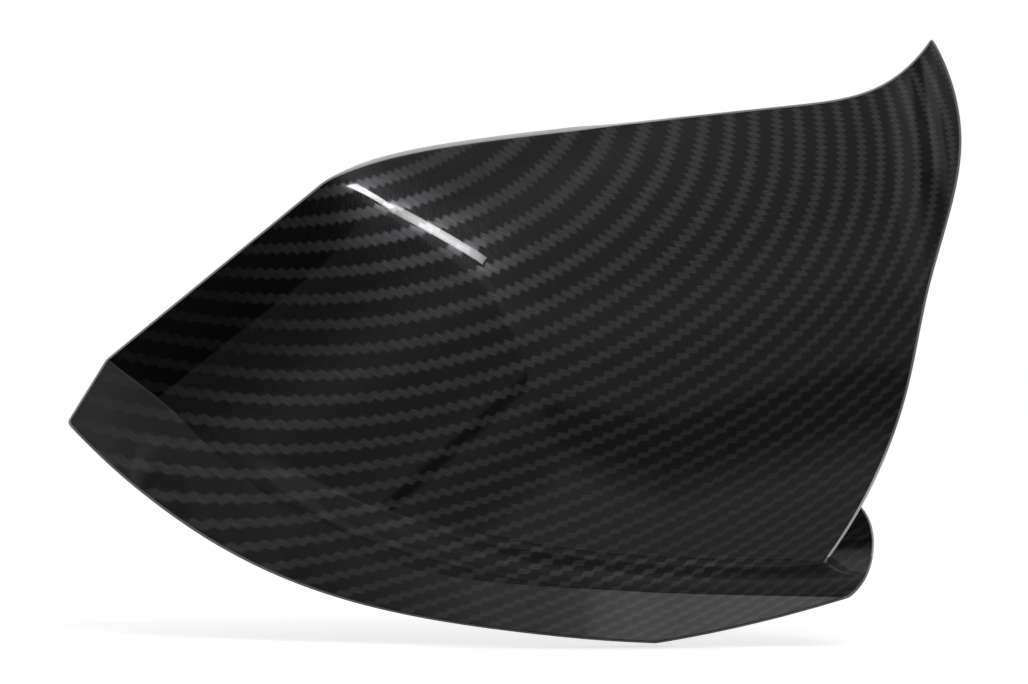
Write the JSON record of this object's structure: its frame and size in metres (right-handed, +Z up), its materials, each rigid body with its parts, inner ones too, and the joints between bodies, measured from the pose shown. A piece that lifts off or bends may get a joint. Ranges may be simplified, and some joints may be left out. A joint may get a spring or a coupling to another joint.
{
  "type": "wing mirror cover",
  "caption": "Horned cover for a car's wing mirror: a moulded gloss shell with a carbon twill look, a ledge that ends in a fin, and ribs, pins and snap hooks inside.",
  "frame": {"origin": "in the flat plane of the rear rim, under the middle of the front face", "axes": "+X towards the car door, +Y rearwards, the way the cover is pushed onto the mirror head, +Z up"},
  "size_m": [0.2385, 0.0918, 0.1591],
  "materials": {
    "twill_gloss": "near-black twill weave under a high-gloss clear coat outside, satin black moulding inside"
  },
  "bodies": {
    "root": {"mirror_cover": "twill_gloss"}
  },
  "joints": []
}
